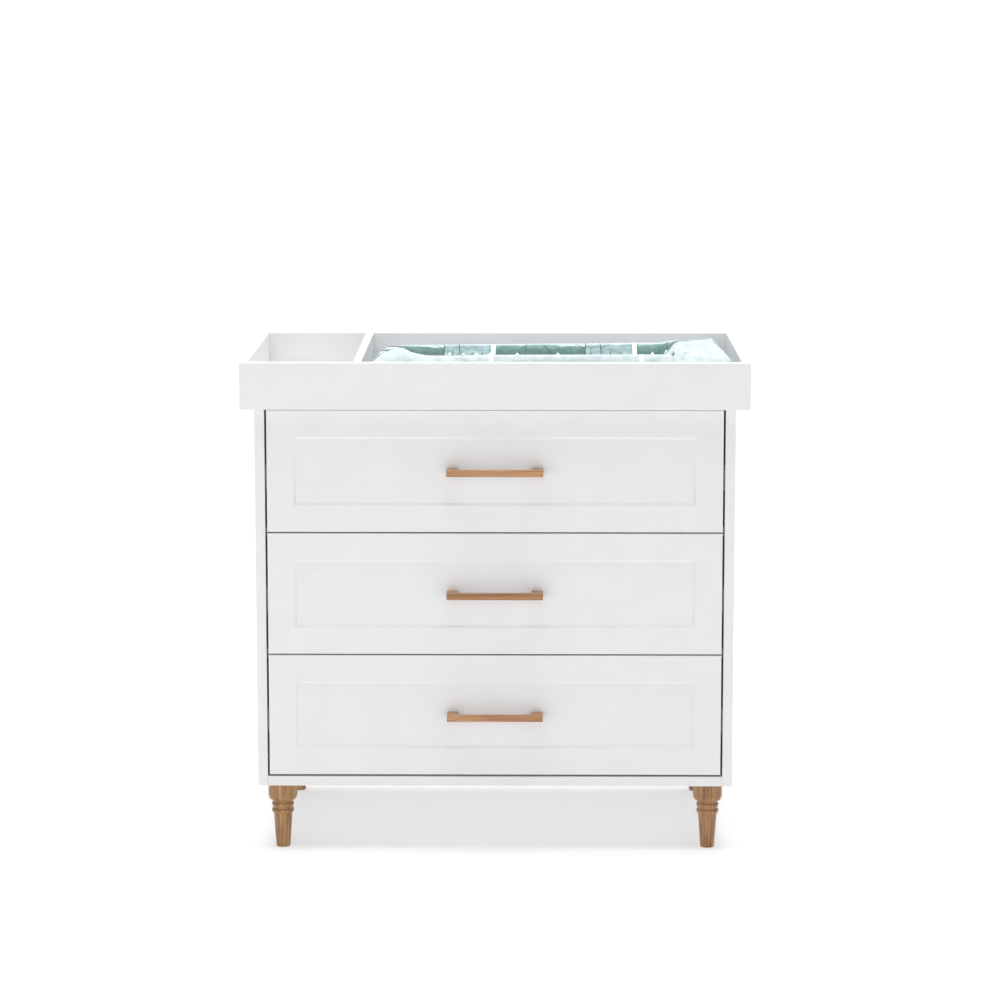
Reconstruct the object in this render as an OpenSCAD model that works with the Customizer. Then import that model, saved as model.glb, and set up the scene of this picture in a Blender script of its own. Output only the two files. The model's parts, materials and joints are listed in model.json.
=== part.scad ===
// Nursery changing table: a three-drawer cabinet on turned legs, with a lift-off
// changing tray and a contoured pad. Origin on the floor under the middle of the
// footprint, +X to the right, +Y to the back, +Z up. Millimetres.

/* [Cabinet] */
// Outside width of the cabinet
cab_w = 870; // [800:10:900]
// Depth of the cabinet, front edge to back edge
cab_d = 500; // [480:5:520]
// Height of the carcass above the legs
cab_h = 715; // [690:5:760]
// Thickness of the cabinet boards
board_t = 18; // [16:1:19]
// Thickness of the back panel and the drawer bases
sheet_t = 5; // [4:0.5:6]
// Front-to-back width of the rails behind the drawer gaps
rail_d = 60; // [50:5:80]
// Height of the rail across the top of the back
back_rail_h = 80; // [70:5:100]

/* [Legs] */
// Height of the turned legs
leg_h = 121; // [118:1:130]
// Diameter of the cup at the top of a leg
leg_cup_d = 53.6; // [50:0.2:56]
// Diameter of the foot
leg_foot_d = 25.8; // [24:0.2:30]
// Distance from the cabinet's side to the axis of a leg
leg_in_x = 43; // [40:1:55]
// Distance from the cabinet's front or back to the axis of a leg
leg_in_y = 32; // [30:1:45]

/* [Drawers] */
// Gap between two drawer fronts
gap = 2.5; // [2:0.5:3]
// Gap at each side of a drawer front
side_gap = 3.5; // [2:0.5:4]
// Gap under the lowest drawer front
bottom_gap = 3.5; // [2:0.5:4]
// Gap over the highest drawer front
top_gap = 1.5; // [1.5:0.5:3]
// Width of the raised border of a drawer front
border_w = 49; // [40:1:60]
// Depth of the recessed panel of a drawer front
recess = 3; // [2:0.5:5]
// Width of the sloped step around the recessed panel
step_w = 4; // [2:0.5:6]
// Thickness of the drawer box sides
box_t = 12; // [10:1:13]
// Height of the drawer box sides
box_h = 165; // [140:5:170]
// Length of the drawer box behind its front
box_l = 440; // [425:5:445]
// Space for a runner on each side of a drawer box
runner_space = 13; // [12.8:0.1:13.5]
// Length of the telescopic runners
runner_l = 400; // [350:50:400]

/* [Handles] */
// Length of a handle
handle_l = 175; // [150:5:220]
// Height of the handle's bar and posts
handle_h = 12; // [10:1:14]
// Distance that a handle stands out from the drawer front
handle_out = 30; // [26:1:34]
// Length of each post along the bar
post_l = 21; // [16:1:24]

/* [Tray] */
// Outside width of the changing tray
tray_w = 920; // [910:5:950]
// Distance that the tray overhangs the cabinet's front and back
tray_lip = 17; // [16.5:0.5:20]
// Height of the tray's walls
tray_h = 86; // [76:5:111]
// Thickness of the tray's walls
tray_t = 15; // [13:1:15]
// Distance that the walls reach below the top of the cabinet
tray_drop = 17; // [14:1:17]
// Thickness of the tray's floor
tray_floor_t = 9; // [8:1:12]
// Inside width of the storage bay at the left
bay_w = 189; // [150:5:220]

/* [Pad] */
// Clearance between the pad and the walls of its bay
pad_clear = 8; // [6:1:15]
// Height of the pad's front bolster
pad_front_h = 61; // [55:1:64]
// Height of the pad's back bolster
pad_back_h = 48; // [44:1:54]
// Thickness of the pad where the child lies
pad_mid_h = 20; // [15:1:25]

/* [Hidden] */
$fn = 64;

// Carcass planes
inner_w = cab_w - 2 * board_t;
side_x = inner_w / 2;
front_y = handle_out - (handle_out + cab_d + tray_lip) / 2;
back_y = front_y + cab_d;
low_z = leg_h;
high_z = leg_h + cab_h;
open_low_z = low_z + board_t;
open_high_z = high_z - board_t;
sheet_y = back_y - sheet_t;
rebate = 8;

// Drawer fronts, counted from 0 at the bottom
front_w = inner_w - 2 * side_gap;
front_h = (open_high_z - open_low_z - bottom_gap - top_gap - 2 * gap) / 3;
inside_y = front_y + board_t;
function front_z(i) = open_low_z + bottom_gap + i * (front_h + gap);

// Drawer boxes
box_x = side_x - runner_space;
box_lift = 15;
groove = 5;
groove_lift = 12;
function box_z(i) = front_z(i) + box_lift;
function runner_z(i) = box_z(i) + box_h / 2;

// Rails: one centred on each gap between two drawers
rail_y = front_y + board_t + 2;
function rail_z(i) = front_z(i) - gap / 2;
back_rail_y = sheet_y - board_t;

// Dowels and cam fittings in the cabinet's corners, as [y, z] on the side panel
dowel_d = 8;
dowel_l = 30;
dowel_in_side = 12;
bolt_d = 7;
bolt_in_side = 11;
cam_d = 15;
cam_h = 13.5;
cam_x = side_x - 24;
mid_t = board_t / 2;
flat_boards_z = [high_z - mid_t, low_z + mid_t];
dowel_spots = concat(
    [for (z = flat_boards_z, y = [front_y + 40, back_y - 60]) [y, z]],
    [for (i = [1, 2]) [rail_y + 15, rail_z(i)]],
    [[back_rail_y + mid_t, open_high_z - 20]]
);
cam_spots = concat(
    [for (z = flat_boards_z, y = [front_y + 90, back_y - 110]) [y, z]],
    [for (i = [1, 2]) [rail_y + 40, rail_z(i)]]
);
back_cam_spot = [back_rail_y + mid_t, open_high_z - 55];

// Legs
leg_x = cab_w / 2 - leg_in_x;
leg_front_y = front_y + leg_in_y;
leg_back_y = back_y - leg_in_y;
leg_waist_r = 18.2;
leg_bead_r = 2.4;
leg_bead_h = 4;
leg_bead_z = [68.6, 80];
leg_lip_z = 97.5;
leg_neck_z = 88;
stud_d = 8;
stud_in_leg = 35;
stud_in_cab = 12;
insert_d = 12;
insert_h = 14;

// Telescopic runner sections: steel thickness, half heights and how deep they nest
steel_t = 1.2;
outer_half = 22.5;
middle_half = 18.5;
inner_half = 14.5;
section_d = 7;
runner_y = inside_y + 3;

// Handle screws
screw_d = 4;
screw_hole_d = 4.5;
head_d = 8;
head_h = 2.4;
screw_bite = 12;
handle_screw_x = handle_l / 2 - post_l / 2;

// Tray planes
tray_low_z = high_z - tray_drop;
tray_high_z = tray_low_z + tray_h;
tray_floor_z = high_z + tray_floor_t;
tray_front_y = front_y - tray_lip;
tray_back_y = back_y + tray_lip;
wall_y0 = tray_front_y + tray_t;
wall_y1 = tray_back_y - tray_t;
wall_x = tray_w / 2 - tray_t;
divider_x = -wall_x + bay_w;
peg_d = 6;
peg_l = 28;
peg_in_wall = 9;

// Brackets on the back, all of flat steel
bracket_t = 2;
bracket_w = 20;
bracket_gap = 0.3;
strap_x = 330;
strap_drop = 40;
lock_z = tray_low_z - 24;
slot_r = 2.6;
anchor_x = 250;
anchor_z = open_high_z - 73;
anchor_h = 30;
anchor_out = 16;
anchor_hole_d = 6;

// Pad outline
pad_x0 = divider_x + tray_t + pad_clear;
pad_x1 = wall_x - pad_clear;
pad_y0 = wall_y0 + pad_clear;
pad_y1 = wall_y1 - pad_clear;
pad_z = tray_floor_z + 0.3;

// A box between its lowest and its highest corner
module block(low, high) {
    translate(low) cube(high - low);
}

module both_sides() {
    children();
    mirror([1, 0, 0]) children();
}

module rod_x(x, y, z, d, l) {
    translate([x, y, z]) rotate([0, 90, 0]) cylinder(h = l, d = d);
}

module rod_y(x, y, z, d, l) {
    translate([x, y, z]) rotate([-90, 0, 0]) cylinder(h = l, d = d);
}

module rod_z(x, y, z, d, l) {
    translate([x, y, z]) cylinder(h = l, d = d);
}

// Pan-head screw: its head's underside is at y, and it bites forwards, towards -Y
module screw_forward(x, y, z, l) {
    rod_y(x, y, z, head_d, head_h);
    rod_y(x, y - l, z, screw_d, l);
}

// ---- Cabinet ----

module dowel_rods() {
    for (spot = dowel_spots)
        rod_x(side_x + dowel_in_side - dowel_l, spot[0], spot[1], dowel_d, dowel_l);
}

// Bolts, or the holes for them, from x to their ends in the side panel
module cam_bolts(x) {
    for (spot = concat(cam_spots, [back_cam_spot]))
        rod_x(x, spot[0], spot[1], bolt_d, side_x + bolt_in_side - x);
}

// A cam sits in a blind hole: from inside the cabinet in the flat boards, from the front in the back rail
module cams() {
    for (spot = cam_spots) {
        from_above = spot[1] < open_low_z;
        rod_z(cam_x, spot[0], from_above ? spot[1] + mid_t - cam_h : spot[1] - mid_t, cam_d, cam_h);
    }
    rod_y(cam_x, back_rail_y, back_cam_spot[1], cam_d, cam_h);
}

module corner_drilling() {
    both_sides() {
        dowel_rods();
        cam_bolts(cam_x);
        cams();
    }
}

module stud_rods() {
    both_sides() for (y = [leg_front_y, leg_back_y])
        rod_z(leg_x, y, low_z - stud_in_leg, stud_d, stud_in_leg + stud_in_cab);
}

module insert_rods() {
    both_sides() for (y = [leg_front_y, leg_back_y]) rod_z(leg_x, y, low_z, insert_d, insert_h);
}

// Right-hand side panel, with a rebate for the back panel
module side_panel() {
    color("white") difference() {
        block([side_x, front_y, low_z], [cab_w / 2, back_y, high_z]);
        block([side_x - 1, sheet_y, low_z - 1], [side_x + rebate, back_y + 1, high_z + 1]);
        dowel_rods();
        cam_bolts(cam_x);
    }
}

module top_panel() {
    color("white") difference() {
        block([-side_x, front_y, open_high_z], [side_x, sheet_y, high_z]);
        corner_drilling();
    }
}

module bottom_panel() {
    color("white") difference() {
        block([-side_x, front_y, low_z], [side_x, sheet_y, open_low_z]);
        corner_drilling();
        insert_rods();
    }
}

module back_panel() {
    color("ghostwhite") difference() {
        block([-side_x - rebate, sheet_y, low_z], [side_x + rebate, back_y, high_z]);
        back_screw_holes();
    }
}

module drawer_rail(i) {
    color("white") difference() {
        block([-side_x, rail_y, rail_z(i) - mid_t], [side_x, rail_y + rail_d, rail_z(i) + mid_t]);
        corner_drilling();
    }
}

module back_rail() {
    color("white") difference() {
        block([-side_x, back_rail_y, open_high_z - back_rail_h], [side_x, sheet_y, open_high_z]);
        corner_drilling();
        back_screw_holes();
    }
}

module cabinet_dowels() {
    color("burlywood") both_sides() dowel_rods();
}

module cam_fittings() {
    color("silver") both_sides() {
        cam_bolts(cam_x + cam_d / 2 + 0.5);
        cams();
    }
}

// ---- Legs ----

// Turned outline from the foot up: taper, two beads, neck, rounded cup
leg_outline = concat(
    [[0, 0], [leg_foot_d / 2 - 1.5, 0], [leg_foot_d / 2, 1.5], [leg_waist_r - 1, leg_bead_z[0] - leg_bead_h - 0.6]],
    [for (z = leg_bead_z, a = [-90:15:90]) [leg_waist_r + leg_bead_r * cos(a), z + leg_bead_h * sin(a)]],
    [[leg_waist_r, leg_neck_z - 1]],
    [for (a = [0:10:90]) [
        leg_waist_r + 1.8 + (leg_cup_d / 2 - leg_waist_r - 1.8) * sin(a),
        leg_lip_z - (leg_lip_z - leg_neck_z) * cos(a)
    ]],
    [[leg_cup_d / 2, leg_h], [0, leg_h]]
);

module leg(x, y) {
    color("peru") difference() {
        translate([x, y, 0]) rotate_extrude($fn = 96) polygon(leg_outline);
        rod_z(x, y, low_z - stud_in_leg, stud_d, stud_in_leg + 1);
    }
}

module leg_studs() {
    color("silver") stud_rods();
}

module leg_inserts() {
    color("silver") difference() {
        insert_rods();
        stud_rods();
    }
}

// ---- Runners ----

// Channel on the right-hand side: web from x0 to x0 + steel_t, flanges to x1
module channel(x0, x1, half, y, l, z) {
    web = x1 > x0 ? [x0, x0 + steel_t] : [x0 - steel_t, x0];
    translate([0, y, z]) {
        block([web[0], 0, -half], [web[1], l, half]);
        for (s = [-half, half - steel_t])
            block([min(x0, x1), 0, s], [max(x0, x1), l, s + steel_t]);
    }
}

module runner_outer(i) {
    color("silver") both_sides()
        channel(side_x, side_x - section_d - 3, outer_half, runner_y, runner_l, runner_z(i));
}

module runner_middle(i) {
    x = side_x - steel_t - 2;
    color("gainsboro") both_sides()
        channel(x, x - section_d, middle_half, runner_y + 2, runner_l - 4, runner_z(i));
}

module runner_inner(i) {
    color("silver") both_sides()
        channel(box_x, box_x + section_d, inner_half, runner_y + 2, runner_l - 4, runner_z(i));
}

// ---- Drawers ----

// Sloped-sided recess in a front: two crossed wedges that share the same depth
module recess_cut(w, h, y, z) {
    lip = 1;
    slope = step_w / recess;
    top = [w / 2 + lip * slope, h / 2 + lip * slope];
    low = [w / 2 - step_w, h / 2 - step_w];
    translate([0, y, z]) intersection() {
        translate([0, 0, -h]) linear_extrude(2 * h)
            polygon([[-top[0], -lip], [top[0], -lip], [low[0], recess], [-low[0], recess]]);
        translate([-w, 0, 0]) rotate([90, 0, 90]) linear_extrude(2 * w)
            polygon([[-lip, -top[1]], [-lip, top[1]], [recess, low[1]], [recess, -low[1]]]);
    }
}

module drawer_front(i) {
    mid_z = front_z(i) + front_h / 2;
    color("white") difference() {
        block([-front_w / 2, front_y, front_z(i)], [front_w / 2, inside_y, front_z(i) + front_h]);
        recess_cut(front_w - 2 * border_w, front_h - 2 * border_w, front_y, mid_z);
        both_sides() rod_y(handle_screw_x, front_y - 1, mid_z, screw_hole_d, board_t + 2);
    }
}

// Floor board of a drawer, let into the grooves of the sides and the back
module base_sheet(i) {
    z = box_z(i) + groove_lift;
    x = box_x - box_t + groove;
    block([-x, inside_y, z], [x, inside_y + box_l - box_t + groove, z + sheet_t]);
}

module drawer_side(i) {
    color("white") difference() {
        block([box_x - box_t, inside_y, box_z(i)], [box_x, inside_y + box_l, box_z(i) + box_h]);
        base_sheet(i);
    }
}

module drawer_back(i) {
    x = box_x - box_t;
    y = inside_y + box_l;
    color("white") difference() {
        block([-x, y - box_t, box_z(i)], [x, y, box_z(i) + box_h]);
        base_sheet(i);
    }
}

module drawer_base(i) {
    color("ghostwhite") base_sheet(i);
}

// Bar with a square post at each end, standing on the recessed panel
module handle(i) {
    low_z = front_z(i) + front_h / 2 - handle_h / 2;
    face_y = front_y + recess;
    bar_y = front_y - handle_out;
    bar_d = 11;
    color("sandybrown") difference() {
        union() {
            block([-handle_l / 2, bar_y, low_z], [handle_l / 2, bar_y + bar_d, low_z + handle_h]);
            both_sides()
                block([handle_l / 2 - post_l, bar_y, low_z], [handle_l / 2, face_y, low_z + handle_h]);
        }
        both_sides()
            rod_y(handle_screw_x, face_y - screw_bite, low_z + handle_h / 2, screw_d, screw_bite + 1);
    }
}

module handle_screws(i) {
    z = front_z(i) + front_h / 2;
    l = board_t - recess + screw_bite;
    color("silver") both_sides() {
        rod_y(handle_screw_x, inside_y, z, head_d, head_h);
        rod_y(handle_screw_x, inside_y - l, z, screw_d, l);
    }
}

// ---- Changing tray ----

// Pegs along Y that join the walls at the right-hand corners, then at the divider
module corner_pegs() {
    for (z = [tray_low_z + 25, tray_high_z - 20]) {
        rod_y(wall_x + tray_t / 2, wall_y0 - peg_in_wall, z, peg_d, peg_l);
        rod_y(wall_x + tray_t / 2, wall_y1 + peg_in_wall - peg_l, z, peg_d, peg_l);
    }
}

module divider_pegs() {
    for (z = [tray_floor_z + 20, tray_high_z - 20]) {
        rod_y(divider_x + tray_t / 2, wall_y0 - peg_in_wall, z, peg_d, peg_l);
        rod_y(divider_x + tray_t / 2, wall_y1 + peg_in_wall - peg_l, z, peg_d, peg_l);
    }
}

module all_pegs() {
    both_sides() corner_pegs();
    divider_pegs();
}

module tray_front() {
    color("white") difference() {
        block([-tray_w / 2, tray_front_y, tray_low_z], [tray_w / 2, wall_y0, tray_high_z]);
        all_pegs();
    }
}

module tray_back() {
    color("white") difference() {
        block([-tray_w / 2, wall_y1, tray_low_z], [tray_w / 2, tray_back_y, tray_high_z]);
        all_pegs();
        both_sides() strap_screw();
    }
}

module tray_side() {
    color("white") difference() {
        block([wall_x, wall_y0, tray_low_z], [tray_w / 2, wall_y1, tray_high_z]);
        corner_pegs();
    }
}

module tray_floor() {
    color("white") block([-wall_x, wall_y0, high_z], [wall_x, wall_y1, tray_floor_z]);
}

module tray_divider() {
    color("white") difference() {
        block([divider_x, wall_y0, tray_floor_z], [divider_x + tray_t, wall_y1, tray_high_z]);
        divider_pegs();
    }
}

// Strips under the floor that keep the tray centred on the cabinet
module tray_battens() {
    beside = wall_x - cab_w / 2;
    color("burlywood") both_sides()
        block([wall_x - beside + 1, wall_y0 + 40, tray_low_z + 1], [wall_x, wall_y1 - 40, high_z]);
}

module tray_dowels() {
    color("burlywood") all_pegs();
}

// Angle under the back wall; its lower leg drops over a screw in the cabinet's back
module strap() {
    y = back_y + bracket_gap;
    difference() {
        union() {
            block([strap_x - bracket_w / 2, y, tray_low_z - bracket_t],
                  [strap_x + bracket_w / 2, tray_back_y - 2, tray_low_z]);
            block([strap_x - bracket_w / 2, y, tray_low_z - strap_drop],
                  [strap_x + bracket_w / 2, y + bracket_t, tray_low_z - bracket_t]);
        }
        rod_y(strap_x, y - 1, lock_z + 0.5, 2 * slot_r, bracket_t + 2);
        block([strap_x - slot_r, y - 1, tray_low_z - strap_drop - 1],
              [strap_x + slot_r, y + bracket_t + 1, lock_z + 0.5]);
        strap_screw();
    }
}

// Screw through the strap, up into the middle of the back wall
module strap_screw() {
    y = tray_back_y - tray_t / 2;
    rod_z(strap_x, y, tray_low_z - bracket_t - head_h, head_d, head_h);
    rod_z(strap_x, y, tray_low_z - bracket_t, screw_d, 25);
}

module tray_straps() {
    color("silver") both_sides() strap();
}

module strap_screws() {
    color("silver") both_sides() strap_screw();
}

// ---- Fittings on the back of the cabinet ----

module back_screw_holes() {
    both_sides() {
        rod_y(strap_x, back_y - 20, lock_z, screw_d, 21);
        rod_y(anchor_x, back_y - 20, anchor_z + 20, screw_d, 21);
    }
}

// The tray straps hang on the outer pair; the inner pair holds the wall brackets
module back_screws() {
    color("silver") both_sides() {
        screw_forward(strap_x, back_y + bracket_t + 2 * bracket_gap, lock_z, 20 + bracket_t + 2 * bracket_gap);
        screw_forward(anchor_x, back_y + bracket_t, anchor_z + 20, 20 + bracket_t);
    }
}

// Angle with an eye for an anti-tip tie to the wall
module wall_bracket() {
    low = [anchor_x - bracket_w / 2, back_y, anchor_z];
    difference() {
        union() {
            block(low, low + [bracket_w, bracket_t, anchor_h]);
            block(low, low + [bracket_w, anchor_out, bracket_t]);
        }
        rod_z(anchor_x, back_y + anchor_out - 6.5, anchor_z - 1, anchor_hole_d, bracket_t + 2);
        rod_y(anchor_x, back_y - 1, anchor_z + 20, screw_d, bracket_t + 2);
    }
}

module wall_brackets() {
    color("silver") both_sides() wall_bracket();
}

// ---- Pad ----

// Soft pad: a bolster along every edge round a lower middle; the front is higher than the back
module changing_pad() {
    front_wall = 95;
    back_wall = 75;
    end_wall = 75;
    slope = 30;
    color("paleturquoise") difference() {
        translate([pad_x0, 0, pad_z]) rotate([90, 0, 90]) linear_extrude(pad_x1 - pad_x0)
            polygon([
                [pad_y0, 0], [pad_y1, 0], [pad_y1, pad_back_h - 12], [pad_y1 - 12, pad_back_h],
                [pad_y0 + front_wall, pad_front_h], [pad_y0 + 14, pad_front_h], [pad_y0, pad_front_h - 14]
            ]);
        hull() {
            block([pad_x0 + end_wall, pad_y0 + front_wall, pad_z + pad_mid_h],
                  [pad_x1 - end_wall, pad_y1 - back_wall, pad_z + pad_mid_h + 1]);
            block([pad_x0 + end_wall - slope, pad_y0 + front_wall - slope, pad_z + pad_front_h],
                  [pad_x1 - end_wall + slope, pad_y1 - back_wall + slope, pad_z + pad_front_h + 1]);
        }
    }
}

mirror([1, 0, 0]) side_panel();  // side_panel_left
side_panel();  // side_panel_right
top_panel();
bottom_panel();
back_panel();
drawer_rail(2);  // upper_rail
drawer_rail(1);  // lower_rail
back_rail();
leg(-leg_x, leg_front_y);  // leg_front_left
leg(leg_x, leg_front_y);  // leg_front_right
leg(-leg_x, leg_back_y);  // leg_back_left
leg(leg_x, leg_back_y);  // leg_back_right
leg_studs();
leg_inserts();
cabinet_dowels();
cam_fittings();
runner_outer(2);  // top_runner_outer
runner_outer(1);  // middle_runner_outer
runner_outer(0);  // bottom_runner_outer
wall_brackets();
back_screws();
drawer_front(2);  // top_drawer_front
mirror([1, 0, 0]) drawer_side(2);  // top_drawer_side_left
drawer_side(2);  // top_drawer_side_right
drawer_back(2);  // top_drawer_back
drawer_base(2);  // top_drawer_base
handle(2);  // top_handle
handle_screws(2);  // top_handle_screws
runner_inner(2);  // top_runner_inner
runner_middle(2);  // top_runner_middle
drawer_front(1);  // middle_drawer_front
mirror([1, 0, 0]) drawer_side(1);  // middle_drawer_side_left
drawer_side(1);  // middle_drawer_side_right
drawer_back(1);  // middle_drawer_back
drawer_base(1);  // middle_drawer_base
handle(1);  // middle_handle
handle_screws(1);  // middle_handle_screws
runner_inner(1);  // middle_runner_inner
runner_middle(1);  // middle_runner_middle
drawer_front(0);  // bottom_drawer_front
mirror([1, 0, 0]) drawer_side(0);  // bottom_drawer_side_left
drawer_side(0);  // bottom_drawer_side_right
drawer_back(0);  // bottom_drawer_back
drawer_base(0);  // bottom_drawer_base
handle(0);  // bottom_handle
handle_screws(0);  // bottom_handle_screws
runner_inner(0);  // bottom_runner_inner
runner_middle(0);  // bottom_runner_middle
tray_front();
tray_back();
mirror([1, 0, 0]) tray_side();  // tray_side_left
tray_side();  // tray_side_right
tray_floor();
tray_divider();
tray_battens();
tray_dowels();
tray_straps();
strap_screws();
changing_pad();
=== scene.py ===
import json
import math

import bmesh
import bpy
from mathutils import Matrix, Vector

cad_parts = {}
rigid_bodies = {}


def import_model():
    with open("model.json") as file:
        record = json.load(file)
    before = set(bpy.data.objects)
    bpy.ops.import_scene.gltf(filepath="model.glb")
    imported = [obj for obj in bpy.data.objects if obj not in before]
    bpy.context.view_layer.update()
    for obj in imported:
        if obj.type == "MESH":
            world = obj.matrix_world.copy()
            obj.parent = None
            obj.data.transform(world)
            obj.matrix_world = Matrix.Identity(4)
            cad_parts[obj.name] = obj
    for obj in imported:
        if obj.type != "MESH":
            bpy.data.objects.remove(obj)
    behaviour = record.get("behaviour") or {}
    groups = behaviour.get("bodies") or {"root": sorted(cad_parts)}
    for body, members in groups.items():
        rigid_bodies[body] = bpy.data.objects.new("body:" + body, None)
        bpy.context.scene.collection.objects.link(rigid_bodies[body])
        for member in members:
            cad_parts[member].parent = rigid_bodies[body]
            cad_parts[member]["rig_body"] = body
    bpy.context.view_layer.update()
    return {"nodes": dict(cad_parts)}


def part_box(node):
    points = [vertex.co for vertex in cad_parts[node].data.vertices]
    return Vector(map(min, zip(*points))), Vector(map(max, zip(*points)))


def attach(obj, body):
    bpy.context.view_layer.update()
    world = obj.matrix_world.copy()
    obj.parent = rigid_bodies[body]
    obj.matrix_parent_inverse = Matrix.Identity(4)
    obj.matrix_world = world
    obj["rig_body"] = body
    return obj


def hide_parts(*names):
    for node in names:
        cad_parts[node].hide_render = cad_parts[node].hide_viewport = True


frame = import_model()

MM = 0.001


# ---- Cabinet carcass ----
# Two side panels with a top, a bottom and three rails between them, all of 18 mm fibreboard.
# The edges are sanded round before the boards are sprayed with white satin paint, and the
# corners are pulled together with dowels and cam fittings.

CARCASS = ["side_panel_left", "side_panel_right", "top_panel", "bottom_panel",
           "upper_rail", "lower_rail", "back_rail"]
SANDED_EDGE = 1.2 * MM
PEEL_SIZE = 3 * MM
DRIFT_SIZE = 60 * MM
GLOSS_DRIFT = 0.04


def linear(hex_colour):
    """An sRGB hex colour as the linear colour that shaders use."""
    parts = [int(hex_colour[i:i + 2], 16) / 255 for i in (1, 3, 5)]
    return [p / 12.92 if p <= 0.04045 else ((p + 0.055) / 1.055) ** 2.4 for p in parts] + [1.0]


def new_material(name):
    """An empty node material."""
    material = bpy.data.materials.new(name)
    material.use_nodes = True
    material.node_tree.nodes.clear()
    return material


def add_node(material, kind, settings, inputs, stops=()):
    """Adds a node with its settings; an input is a number, a colour or another node's socket."""
    made = material.node_tree.nodes.new(kind)
    for name, value in settings.items():
        setattr(made, name, value)
    for name, value in inputs.items():
        if isinstance(value, bpy.types.NodeSocket):
            material.node_tree.links.new(value, made.inputs[name])
        else:
            made.inputs[name].default_value = value
    for i, (place, colour) in enumerate(stops):
        stop = made.color_ramp.elements[i] if i < 2 else made.color_ramp.elements.new(place)
        stop.position = place
        stop.color = colour
    return made


def start_edit(piece):
    """Selects one piece alone and opens it in edit mode with all of its mesh selected."""
    bpy.ops.object.select_all(action="DESELECT")
    piece.select_set(True)
    bpy.context.view_layer.objects.active = piece
    bpy.ops.object.mode_set(mode="EDIT")
    bpy.ops.mesh.select_mode(type="EDGE")
    bpy.ops.mesh.select_all(action="SELECT")


def select_edges(piece, wanted):
    """Selects the edges for which wanted(edge) is true, in edit mode."""
    bpy.ops.mesh.select_all(action="DESELECT")
    mesh = bmesh.from_edit_mesh(piece.data)
    for edge in mesh.edges:
        edge.select = wanted(edge)
    mesh.select_flush_mode()
    bmesh.update_edit_mesh(piece.data)


def is_corner(edge, angle=60, shortest=4 * MM):
    """A long sharp edge of a board, and not the rim of a drilled hole."""
    folded = len(edge.link_faces) == 2 and edge.calc_face_angle() > math.radians(angle)
    return folded and edge.calc_length() > shortest


def finish_mesh(piece, material):
    """Smooth shading that stays flat on the flat faces, and one material."""
    bpy.ops.object.mode_set(mode="OBJECT")
    bpy.ops.object.shade_smooth_by_angle(angle=math.radians(40))
    weighted = piece.modifiers.new("weighted", "WEIGHTED_NORMAL")
    weighted.keep_sharp = True
    bpy.ops.object.modifier_apply(modifier=weighted.name)
    piece.data.materials.clear()
    piece.data.materials.append(material)


def merged_copy(node, name):
    """A new piece with a CAD node's mesh, its loose triangles joined into flat faces."""
    piece = bpy.data.objects.new(name, frame["nodes"][node].data.copy())
    bpy.context.scene.collection.objects.link(piece)
    start_edit(piece)
    bpy.ops.mesh.remove_doubles(threshold=0.01 * MM)
    bpy.ops.mesh.dissolve_limited(angle_limit=math.radians(0.5))
    return piece


def sanded(node, edge_radius, material):
    """A CAD board with its sharp edges rubbed round. It replaces the node and rides with it."""
    piece = merged_copy(node, node + "_sanded")
    select_edges(piece, is_corner)
    bpy.ops.mesh.bevel(offset=edge_radius, segments=3, affect="EDGES")
    finish_mesh(piece, material)
    stands_for(piece, node)
    return piece


def stands_for(piece, node):
    """The piece replaces the node and rides on the node's body."""
    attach(piece, frame["nodes"][node]["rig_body"])
    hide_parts(node)


# Sprayed satin paint: nearly flat, with the faint orange peel of a spray gun and a slight
# drift in gloss. Real orange peel is 1 to 2 mm across; it is drawn at 3 mm so that it shows.
def satin_paint(name, light, dark, roughness):
    paint = new_material(name)
    place = add_node(paint, "ShaderNodeTexCoord", {}, {})
    drift = add_node(paint, "ShaderNodeTexNoise", {},
                     {"Vector": place.outputs["Object"], "Scale": 1 / DRIFT_SIZE, "Detail": 2.0})
    peel = add_node(paint, "ShaderNodeTexNoise", {},
                    {"Vector": place.outputs["Object"], "Scale": 1 / PEEL_SIZE, "Detail": 1.0})
    tint = add_node(paint, "ShaderNodeValToRGB", {}, {"Fac": drift.outputs["Fac"]},
                    [(0.35, linear(dark)), (0.65, linear(light))])
    gloss = add_node(paint, "ShaderNodeMapRange", {},
                     {"Value": drift.outputs["Fac"], "From Min": 0.3, "From Max": 0.7,
                      "To Min": roughness - GLOSS_DRIFT, "To Max": roughness + GLOSS_DRIFT})
    relief = add_node(paint, "ShaderNodeBump", {},
                      {"Height": peel.outputs["Fac"], "Strength": 0.25, "Distance": 0.04 * MM})
    shader = add_node(paint, "ShaderNodeBsdfPrincipled", {},
                      {"Base Color": tint.outputs["Color"], "Roughness": gloss.outputs["Result"],
                       "Normal": relief.outputs["Normal"], "IOR": 1.5})
    add_node(paint, "ShaderNodeOutputMaterial", {}, {"Surface": shader.outputs["BSDF"]})
    return paint


white_paint = satin_paint("white_satin_paint", "#e5e5e6", "#e3e3e4", 0.42)
for node in CARCASS:
    sanded(node, SANDED_EDGE, white_paint)


# ---- Back panel ----
# A sheet of 5 mm hardboard, painted white on the outside, slid into the rebates of the side
# panels. Hardboard drinks paint, so it dries duller than the boards.

SHEET_EDGE = 0.4 * MM

sheet_paint = satin_paint("painted_hardboard", "#e0e0de", "#dedfdc", 0.6)
sanded("back_panel", SHEET_EDGE, sheet_paint)


# ---- Legs ----
# Four legs turned from hardwood staves glued side by side: a tapered shank, two beads, a neck
# and a rounded cup under the cabinet. They are stained light oak and lacquered clear.

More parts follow.
